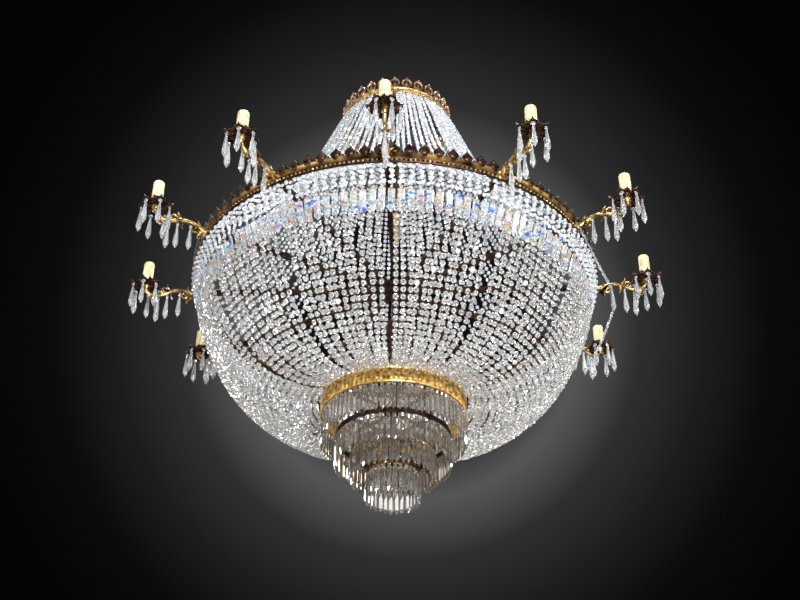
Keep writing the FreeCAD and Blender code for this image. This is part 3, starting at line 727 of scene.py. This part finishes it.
def rings():
    """The three rings: main ring of gilt fascia over a dark cove, swelling bottom ring and crown hoop."""
    outer, inner = RING_RADIUS, RING_RADIUS - RING_WALL
    ring_band("main_ring_fascia", [
        (inner, RING_LOW + 13 * MM), (outer - 2 * MM, RING_LOW + 13 * MM),
        (outer + 0.2 * MM, RING_LOW + 14 * MM), (outer - 0.6 * MM, RING_LOW + 16 * MM),
        (outer - 0.4 * MM, RING_TOP - 5 * MM), (outer + 1 * MM, RING_TOP - 3 * MM),
        (outer + 1 * MM, RING_TOP), (inner, RING_TOP)], RING_GILT_HIGHLIT, "main_ring")
    inner += 0.3 * MM
    ring_band("main_ring_cove", [
        (inner, RING_LOW), (outer - 1 * MM, RING_LOW), (outer, RING_LOW + 1 * MM),
        (outer - 0.6 * MM, RING_LOW + 2.4 * MM), (outer - 3.4 * MM, RING_LOW + 4 * MM),
        (outer - 3.6 * MM, RING_LOW + 11 * MM), (outer - 2.4 * MM, RING_LOW + 12.8 * MM),
        (inner, RING_LOW + 12.8 * MM)], BRONZE)
    outer = BOTTOM_RADIUS
    ring_band("bottom_ring_band", [
        (outer - 5 * MM, BOTTOM_LOW), (outer, BOTTOM_LOW), (outer + 1.2 * MM, BOTTOM_LOW + 3 * MM),
        (outer - 1 * MM, BOTTOM_LOW + 5.5 * MM), (outer + 1 * MM, BOTTOM_LOW + 20 * MM),
        (outer - 1 * MM, BOTTOM_TOP - 6 * MM), (outer + 1.2 * MM, BOTTOM_TOP - 3 * MM), (outer, BOTTOM_TOP),
        (outer - 5 * MM, BOTTOM_TOP)], GILT_BRIGHT, "bottom_ring")
    outer = CROWN_RADIUS
    ring_band("crown_ring_band", [
        (outer - 4 * MM, CROWN_LOW), (outer, CROWN_LOW), (outer, CROWN_LOW + 5 * MM),
        (outer - 1.5 * MM, CROWN_LOW + 7 * MM), (outer - 1.5 * MM, CROWN_TOP - 4 * MM),
        (outer, CROWN_TOP - 2 * MM), (outer, CROWN_TOP),
        (outer - 4 * MM, CROWN_TOP)], GILT_BRIGHT, "crown_ring")


ROD_RADIUS = 8 * MM
HUB_RADIUS = 8.2 * MM
COLLAR_RADIUS = 10.5 * MM


def column():
    """The rod with its turned knop and baluster, and small fillets at their ends."""
    low, high = levels("central_column")
    rod = turned("turned_column", 24, [(ROD_RADIUS, high), (ROD_RADIUS, low)])
    low, high = levels("column_knop")
    knop = turned("turned_knop", 28, [
        (HUB_RADIUS, high), (COLLAR_RADIUS, high - 1 * MM), (9.5 * MM, high - 5 * MM),
        (12 * MM, high - 16 * MM), (13 * MM, (low + high) / 2), (12 * MM, low + 16 * MM),
        (9.5 * MM, low + 5 * MM), (COLLAR_RADIUS, low + 1 * MM), (HUB_RADIUS, low)])
    low, high = levels("column_baluster")
    tall = high - low
    swell = ((14, 0.07), (18.9, 0.12), (24.5, 0.25), (27, 0.45), (24, 0.65), (16.2, 0.85), (11, 0.93))
    body = turned("turned_baluster", 32, [
        (HUB_RADIUS, high), (COLLAR_RADIUS, high - 1 * MM), (COLLAR_RADIUS, high - 4 * MM),
        *[(radius * MM, high - share * tall) for radius, share in swell],
        (COLLAR_RADIUS, low + 1 * MM), (HUB_RADIUS, low)])
    for piece, finish, node in ((rod, BRONZE, "central_column"), (knop, GILT_BRIGHT, "column_knop"),
                                (body, BRONZE, "column_baluster")):
        dressed(smooth_shaded(piece, 40), finish, "gilt_brass", "frame", node)


def mouldings():
    """Bead rows and chased leaves on the gilt rings."""
    beading("ring_lower_beads", RING_RADIUS - 3 * MM, RING_LOW + 7.5 * MM, 300, 7 * MM, GILT_SHADED)
    leaf_relief("bottom_ring_leaves", BOTTOM_RADIUS - 0.6 * MM, BOTTOM_LOW + 5 * MM, BOTTOM_TOP - 6 * MM, 96,
                GILT_BRIGHT)
    edge = BOTTOM_RADIUS + 0.2 * MM
    beading("bottom_lower_beads", edge, BOTTOM_LOW + 2 * MM, 200, 4.2 * MM, GILT_BRIGHT)
    beading("bottom_upper_beads", edge, BOTTOM_TOP - 2.4 * MM, 200, 4.2 * MM, GILT_BRIGHT)
    beading("crown_beads", CROWN_RADIUS - 0.5 * MM, CROWN_LOW + 3 * MM, 160, 4.6 * MM, GILT_SHADED)


# ---------------------------------------------------------------- arms and lights
ARM_ROOT = RING_RADIUS * math.cos(math.pi / RING_FLATS) + 0.3 * MM
ARM_REACH = CANDLE_CIRCLE - ARM_ROOT
# The arm's line: shares of its reach, and how far it stands over the ring's lower edge in millimetres.
ARM_LINE = ((0, 8), (0.22, 22.1), (0.45, 26), (0.68, 9), (0.88, 7.2))
PLATE_LOW = DISH_LOW - 4 * MM


def arm_route():
    """The arm's line in the XZ plane, as its CAD solid has it."""
    points = [Vector((ARM_ROOT + ARM_REACH * share, 0, RING_LOW + rise * MM)) for share, rise in ARM_LINE]
    points.append(Vector((CANDLE_CIRCLE, 0, PLATE_LOW - 6 * MM)))
    return points


def along_arm(share):
    """A point on the arm's line, by its share of the reach."""
    points = arm_route()
    reach = ARM_ROOT + ARM_REACH * share
    for near, far in zip(points, points[1:]):
        if near.x <= reach <= far.x:
            return near.lerp(far, (reach - near.x) / (far.x - near.x))
    return points[-1]


def tube_along(name, places, radii, resolution):
    """A round tube along a smooth line led by six places or more; its radii are in millimetres."""
    start()
    bpy.ops.curve.primitive_nurbs_path_add()
    route = bpy.context.object
    route.name = name
    line = route.data.splines[0]
    line.points.add(len(places) - len(line.points))
    for point, place, radius in zip(line.points, places, radii):
        point.co = (*place, 1)
        point.radius = radius
    line.order_u = 3
    line.use_endpoint_u = True
    line.resolution_u = 5
    route.data.bevel_depth = 1 * MM
    route.data.bevel_resolution = resolution
    route.data.use_fill_caps = True
    only(route)
    bpy.ops.object.convert(target="MESH")
    return bpy.context.object


def volute(share, drop, size, first_turn, turns, thick):
    """A scroll that winds inwards to a small eye, above or below the arm's line; thick is in millimetres."""
    centre = along_arm(share) - Vector((0, 0, drop))
    steps = 16
    places = []
    radii = []
    for index in range(steps):
        wound = index / (steps - 1)
        angle = math.radians(first_turn) + turns * FULL_TURN * wound
        reach = size * (1 - 0.78 * wound)
        places.append(centre + Vector((reach * math.cos(angle), 0, reach * math.sin(angle))))
        radii.append(thick * (1 - 0.35 * wound))
    return tube_along("arm_scroll", places, radii, 2)


def acanthus(name, length, width, curl):
    """A curling leaf along +X with toothed edges; curl is how far its tip rolls over, in radians."""
    start()
    bpy.ops.mesh.primitive_grid_add(x_subdivisions=9, y_subdivisions=4, size=1)
    piece = new_piece(name)
    for corner in piece.data.vertices:
        share = corner.co.x + 0.5
        across = corner.co.y * 2
        tooth = 1 - 0.3 * (round(share * 9) % 2) * abs(across)
        spread = math.sin(math.pi * min(1.0, share * 0.9 + 0.12)) ** 0.7
        rib = 0.06 * width if abs(across) < 0.1 else 0
        rise = length * (1 - math.cos(curl * share)) / curl
        corner.co = (length * math.sin(curl * share) / curl, across * width / 2 * spread * tooth,
                     rise - abs(across) * width * 0.12 + rib)
    return applied(piece, "SOLIDIFY", thickness=1.4 * MM, offset=0)


def leaf_at(share, lift, length, width, curl, pitch, roll):
    """A leaf that springs from the arm's line, with its sizes in millimetres; pitch 0 points outwards."""
    leaf = acanthus("arm_leaf", length * MM, width * MM, curl)
    place = along_arm(share) + Vector((0, 0, lift * MM))
    leaf.data.transform(at(*place) @ turn(pitch, "Y") @ turn(roll, "X"))
    return leaf


def arms():
    """The cast arms: an arched stem with scrolls and leaves, a root rosette and a plate under the dish."""
    rosette = turned("arm_root", 12, [(3 * MM, 6 * MM), (6 * MM, 5 * MM), (10 * MM, 2 * MM), (11 * MM, 0)])
    rosette.data.transform(at(RING_RADIUS - 0.5 * MM, 0, RING_LOW + 12 * MM) @ turn(90, "Y"))
    plate = turned("arm_plate", 14, [
        (3.5 * MM, PLATE_LOW - 14 * MM), (7 * MM, PLATE_LOW - 10 * MM), (5.5 * MM, PLATE_LOW - 6 * MM),
        (10.5 * MM, PLATE_LOW), (11 * MM, DISH_LOW - 0.2 * MM)])
    plate.data.transform(at(CANDLE_CIRCLE, 0, 0))
    parts = [
        tube_along("arm_stem", arm_route(), [6.6, 5.6, 4.8, 4.2, 4.2, 4.4], 3),
        volute(0.22, 13 * MM, 12 * MM, 100, 1.3, 2.9),
        volute(0.62, -11 * MM, 11 * MM, -70, 1.25, 2.7),
        volute(0.86, 9 * MM, 8 * MM, 100, -1.2, 2.4),
        rosette, plate]
    piece = smooth_shaded(on_each_arm(joined("arms_cast", parts), "arms_cast"), 45)
    dressed(piece, GILT_SHADED, "gilt_brass", "frame", "arms")

    leaves = [leaf_at(*row) for row in (
        (0.02, 3, 34, 18, 1.5, -8, 0), (0.02, 0, 34, 18, -1.5, 10, 0), (0.05, 0, 30, 15, 1.2, 0, 80),
        (0.05, 0, 30, 15, 1.2, 0, -80), (0.44, 1, 30, 15, 1.9, 8, 0), (0.44, -2, 28, 14, -1.7, 40, 0),
        (0.46, 0, 26, 13, 1.3, 20, 75), (0.46, 0, 26, 13, 1.3, 20, -75), (0.93, -3, 22, 14, 1.6, -165, 0))]
    piece = smooth_shaded(on_each_arm(joined("arm_leaves", leaves), "arm_leaves"), 45)
    dressed(piece, RING_GILT_HIGHLIT, "gilt_brass", "frame")


DISH_LOBES = 6
LOBE_PITCH = 360 / DISH_LOBES


def dishes():
    """The drip dishes: broad toothed leaves that spread from a boss, with smaller upright ones between."""
    name = "dish_leaves"
    parts = [turned(name, 24, [(9 * MM, DISH_LOW + 0.5 * MM), (15 * MM, DISH_LOW + 0.2 * MM),
                               (17 * MM, DISH_TOP - 1 * MM), (9 * MM, DISH_TOP - 0.4 * MM)])]
    seat = at(8.5 * MM, 0, DISH_LOW + 2 * MM)
    for lobe in range(DISH_LOBES):
        leaf = acanthus(name, 34 * MM, 42 * MM, 0.75)
        leaf.data.transform(turn(LOBE_PITCH * (lobe + 0.5)) @ seat @ turn(14, "Y"))
        bract = acanthus(name, 24 * MM, 17 * MM, 1.3)
        bract.data.transform(turn(LOBE_PITCH * lobe) @ seat)
        parts += [leaf, bract]
    dish = joined(name, parts)
    dish.data.transform(at(CANDLE_CIRCLE, 0, 0))
    dressed(smooth_shaded(on_each_arm(dish, name), 45), BRONZE, "dark_bronze", "frame", "drip_dishes")


def cups():
    """The jagged leaf cups that hold the sleeves' feet: five points, with deep notches between."""
    low, high = levels("leaf_cups")
    cup = turned("cup_leaves", 32, [
        (8 * MM, low), (16 * MM, low + 1 * MM), (19.5 * MM, low + 7 * MM), (18.5 * MM, high - 3 * MM),
        (19.8 * MM, high), (18.4 * MM, high - 1 * MM), (16.2 * MM, high - 4 * MM), (16.2 * MM, low + 4 * MM),
        (0, low + 4 * MM)])
    waist = low + 5 * MM
    for corner in cup.data.vertices:
        if corner.co.z > waist:
            angle = math.atan2(corner.co.y, corner.co.x)
            notch = 1 - abs(math.cos(2.5 * angle)) ** 0.8
            corner.co.z -= (corner.co.z - waist) / (high - waist) * (4 * MM + 11 * MM * notch)
    cup.data.transform(at(CANDLE_CIRCLE, 0, 0))
    piece = smooth_shaded(on_each_arm(cup, "cup_leaves"), 40)
    dressed(piece, BRONZE, "dark_bronze", "frame", "leaf_cups")


def sleeves():
    """Wax-dipped candle sleeves, open at the top, each lifting off its lampholder."""
    low, high = levels("candle_sleeve_01")
    outer = 13.9 * MM
    inner = 11.6 * MM
    base = turned("sleeve", 40, [
        (inner, low), (outer - 0.4 * MM, low), (outer, low + 0.8 * MM), (outer - 0.3 * MM, low + 18 * MM),
        (outer, low + 34 * MM), (outer - 0.3 * MM, low + 47 * MM), (outer, high - 3 * MM),
        (outer - 0.8 * MM, high), (inner + 0.3 * MM, high - 0.4 * MM), (inner, high - 3 * MM), (inner, low)],
        filled=False)
    for corner in base.data.vertices:
        reach = math.hypot(corner.co.x, corner.co.y)
        if reach > inner + 0.5 * MM:
            angle = math.atan2(corner.co.y, corner.co.x)
            run = 0.25 * MM * math.sin(5 * angle + 60 * corner.co.z) + 0.2 * MM * math.sin(11 * angle)
            factor = (reach - 0.3 * MM + run * 0.6) / reach
            corner.co.x *= factor
            corner.co.y *= factor
    for number in range(ARM_COUNT):
        node = f"candle_sleeve_{number + 1:02d}"
        piece = copy_of(base, f"wax_sleeve_{number + 1:02d}", to_arm(number) @ at(CANDLE_CIRCLE, 0, 0))
        dressed(smooth_shaded(piece, 50), WAX, "ivory_sleeve", node, node)
    remove(base)


ARM_DROP_SHARES = (0.307, 0.73)
DROP_REACH = 34 * MM
GARLAND_TWIST = 0.9


def hung_drop(name):
    """A pendeloque under a small octagon bead, its top at the origin."""
    return under_bead(name, pendeloque(name, 64 * MM, 14 * MM), 12 * MM, 5 * MM)


def drops():
    """Drops on the dishes' lobes and under the arms, and the swinging pendant under each arm."""
    hung = []
    for lobe in range(DISH_LOBES):
        drop = hung_drop("dish_drop")
        angle = LOBE_PITCH * (lobe + 0.5)
        drop.data.transform(at(CANDLE_CIRCLE, 0, DISH_LOW - 0.3 * MM) @ turn(angle) @ at(DROP_REACH, 0, 0))
        hung.append(drop)
    for share in ARM_DROP_SHARES:
        drop = hung_drop("arm_drop")
        drop.data.transform(at(*along_arm(share)) @ at(0, 0, -6 * MM))
        hung.append(drop)
    piece = flat_shaded(on_each_arm(joined("dish_crystals", hung), "dish_crystals"))
    dressed(piece, CRYSTAL_PRISM, "crystal", "frame", "dish_drops")

    base = hung_drop("arm_crystal")
    hook = at(PENDANT_CIRCLE, 0, levels("arm_pendant_01")[1])
    for number in range(ARM_COUNT):
        node = f"arm_pendant_{number + 1:02d}"
        piece = copy_of(base, f"arm_crystal_{number + 1:02d}", to_arm(number) @ hook)
        dressed(flat_shaded(piece), CRYSTAL_PRISM, "crystal", node, node)
    remove(base)


def garland_row(bead, first, last, sag, count):
    """Beads along a hanging line between two points."""
    parts = []
    for index in range(count):
        share = (index + 0.5) / count
        place = first.lerp(last, share) - Vector((0, 0, 4 * sag * share * (1 - share)))
        facing = turn(math.degrees(GARLAND_TWIST * index)) @ turn(90, "Y")
        parts.append(copy_of(bead, "loose_garland", at(*place) @ facing))
    return parts


def garland():
    """A loose string of beads from arm to arm on one side, with a long prism on its lower end."""
    def under_arm(angle, share, drop):
        return turn(angle) @ (along_arm(share) - Vector((0, 0, drop)))
    bead = octagon_bead("loose_garland", 9 * MM, 5 * MM, sides=6)
    middle = under_arm(0, 0.3, 8 * MM)
    foot = middle - Vector((0, 0, 66 * MM))
    parts = garland_row(bead, under_arm(-ARM_PITCH, 0.05, 8 * MM), middle, 6 * MM, 26)
    parts += garland_row(bead, foot, under_arm(ARM_PITCH, 0.8, 6 * MM), 8 * MM, 22)
    remove(bead)
    prism = flat_prism("loose_garland", 11 * MM, 6 * MM, 62 * MM, 9 * MM)
    prism.data.transform(at(*middle))
    piece = joined("loose_garland", [*parts, prism])
    dressed(flat_shaded(piece), CRYSTAL_PRISM, "crystal", "frame")


# ---------------------------------------------------------------- finish of the CAD pieces that stay
def finish_frame():
    """Finishes for the pieces that keep their CAD shape."""
    stays = {"suspension_eye": GILT_SHADED, "hoop_two": BRONZE, "hoop_three": RING_GILT_HIGHLIT, "hoop_four": RING_GILT_HIGHLIT,
             "crown_wheel": BRONZE, "main_wheel": BRONZE, "bottom_wheel": BRONZE, "finial_nut": GILT_SHADED,
             "lampholders": HOLDER}
    for node, finish in stays.items():
        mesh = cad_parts[node].data
        mesh.materials.clear()
        mesh.materials.append(finish)


# ---------------------------------------------------------------- stage, light and camera
FLOOR_LEVEL = -2.85
MIDDLE = (0, 0, -0.75)

# The camera was fitted to the photograph with the object's own circles.
CAMERA_PLACE = (103.6 * MM, -2582.3 * MM, -2557.8 * MM)
CAMERA_PITCH = 35.36
CAMERA_HEADING = 2.0
CAMERA_ROLL = 0.39
CAMERA_LENS = 56.25
CAMERA_TURN = turn(CAMERA_HEADING) @ turn(90 + CAMERA_PITCH, "X") @ turn(CAMERA_ROLL)
GLOW_CENTRE = CAMERA_TURN.to_3x3() @ Vector((0.008, -0.024, -1)).normalized()


def camera():
    """The photograph's point of view."""
    data = bpy.data.cameras.new("camera")
    data.lens = CAMERA_LENS
    data.sensor_width = 36
    holder = bpy.data.objects.new("camera", data)
    holder.matrix_world = Matrix.Translation(CAMERA_PLACE) @ CAMERA_TURN
    bpy.context.scene.collection.objects.link(holder)
    bpy.context.scene.camera = holder


def floor():
    """A plain pale floor, well under the chandelier."""
    start()
    bpy.ops.mesh.primitive_plane_add(size=40, location=(0, 0, FLOOR_LEVEL))
    piece = bpy.context.object
    piece.name = "pale_floor"
    finish = new_finish("pale_floor_paint", {"Base Color": linear("#BDBCBA"), "Roughness": 0.8})[0]
    piece.data.materials.append(finish)


def soft_light(name, place, width, power, spread=180):
    """A round studio lamp that faces the middle of the chandelier."""
    lamp = bpy.data.lights.new(name, "AREA")
    lamp.shape = "DISK"
    lamp.size = width
    lamp.energy = power
    lamp.spread = math.radians(spread)
    holder = bpy.data.objects.new(name, lamp)
    holder.location = place
    holder.rotation_euler = (Vector(MIDDLE) - Vector(place)).to_track_quat("-Z", "Y").to_euler()
    bpy.context.scene.collection.objects.link(holder)


def backdrop():
    """A grey glow that fades to black round the object, and a mottled room that glass and metal see."""
    world = bpy.data.worlds.new("studio")
    bpy.context.scene.world = world
    world.use_nodes = True
    tree = world.node_tree
    tree.nodes.clear()
    place = add_node(tree, "ShaderNodeTexCoord").outputs["Generated"]
    # How far each direction lies from the glow's centre, from 0 to 2.
    aside = add_node(tree, "ShaderNodeVectorMath", {"operation": "DISTANCE", 1: GLOW_CENTRE}, {0: place})
    fade = add_node(tree, "ShaderNodeValToRGB", links={"Fac": aside.outputs["Value"]}, stops=(
        (0.0, "#0C0C0C"), (0.09, "#101010"), (0.135, "#565656"), (0.18, "#2F2F2F"), (0.23, "#1D1D1D"),
        (0.275, "#0C0C0C"), (0.34, "#040404"), (0.5, "#050505"), (0.85, "#424344")))
    clouds = add_node(tree, "ShaderNodeTexNoise", {"Scale": 3.4, "Detail": 3.0}, {"Vector": place})
    mottle = add_node(tree, "ShaderNodeValToRGB", links={"Fac": clouds.outputs["Fac"]},
                      stops=((0.39, "#1E1F21"), (0.52, "#8F9092"), (0.65, "#FFFFFF")))
    glow = add_node(tree, "ShaderNodeBackground", {"Strength": 1.0}, {"Color": fade.outputs["Color"]})
    room = add_node(tree, "ShaderNodeBackground", {"Strength": 1.6}, {"Color": mottle.outputs["Color"]})
    fill = add_node(tree, "ShaderNodeBackground", {"Color": linear("#E9EBEF"), "Strength": 0.45})
    path = add_node(tree, "ShaderNodeLightPath")
    shiny = add_node(tree, "ShaderNodeMath", {"operation": "ADD", "use_clamp": True},
                     {0: path.outputs["Is Glossy Ray"], 1: path.outputs["Is Transmission Ray"]})
    lit = add_node(tree, "ShaderNodeMixShader",
                   links={0: shiny.outputs[0], 1: fill.outputs[0], 2: room.outputs[0]})
    both = add_node(tree, "ShaderNodeMixShader",
                    links={0: path.outputs["Is Camera Ray"], 1: lit.outputs[0], 2: glow.outputs[0]})
    add_node(tree, "ShaderNodeOutputWorld", links={"Surface": both.outputs[0]})


def lamps():
    """Six soft lamps; the low one is narrow, so that it doesn't light the floor."""
    soft_light("key_left", (-2.6, -2.6, -0.2), 0.8, 70)
    soft_light("key_right", (2.8, -2.2, -0.6), 0.8, 50)
    soft_light("low_front", (0.6, -2.4, -2.3), 0.7, 22, spread=60)
    soft_light("top", (0.3, -0.4, 1.8), 1.0, 60)
    soft_light("back_left", (-2.2, 2.6, 0.2), 0.9, 50)
    soft_light("back_right", (2.4, 2.4, -1.4), 0.9, 40)


# ---------------------------------------------------------------- the whole chandelier
bpy.context.scene.view_settings.view_transform = "Standard"
camera()
backdrop()
lamps()
floor()
finish_frame()
column()
rings()
tent()
basket()
lace()
plaques()
prism_tiers()
crestings()
mouldings()
arms()
dishes()
cups()
sleeves()
drops()
garland()
start()
